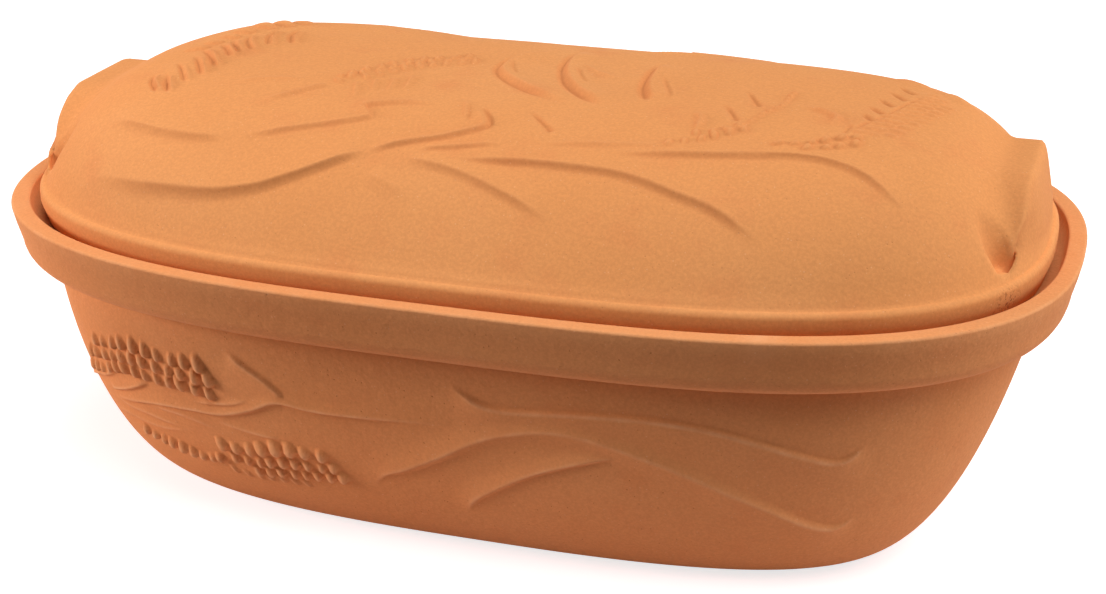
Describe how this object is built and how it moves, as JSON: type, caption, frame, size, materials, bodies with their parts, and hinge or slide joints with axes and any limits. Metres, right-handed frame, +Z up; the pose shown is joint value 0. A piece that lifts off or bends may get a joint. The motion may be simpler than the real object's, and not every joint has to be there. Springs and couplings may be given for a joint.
{
  "type": "clay baker",
  "caption": "Oval unglazed clay baker: a deep collared dish with a domed lid that sits inside its rim and lifts off by moulded end grips.",
  "frame": {"origin": "on the table under the middle of the dish's foot", "axes": "+X along the length of the dish, +Y across it towards the back, +Z up, the way the lid lifts"},
  "size_m": [0.398, 0.24, 0.1594],
  "materials": {
    "terracotta": "matt unglazed fired clay"
  },
  "bodies": {
    "dish": {"baking_dish": "terracotta"},
    "lid": {"lid": "terracotta"}
  },
  "joints": [
    {"name": "lid_lift", "type": "slide", "parent": "dish", "child": "lid", "axis": [0, 0, 1], "range_m": [0, 0.2]}
  ]
}
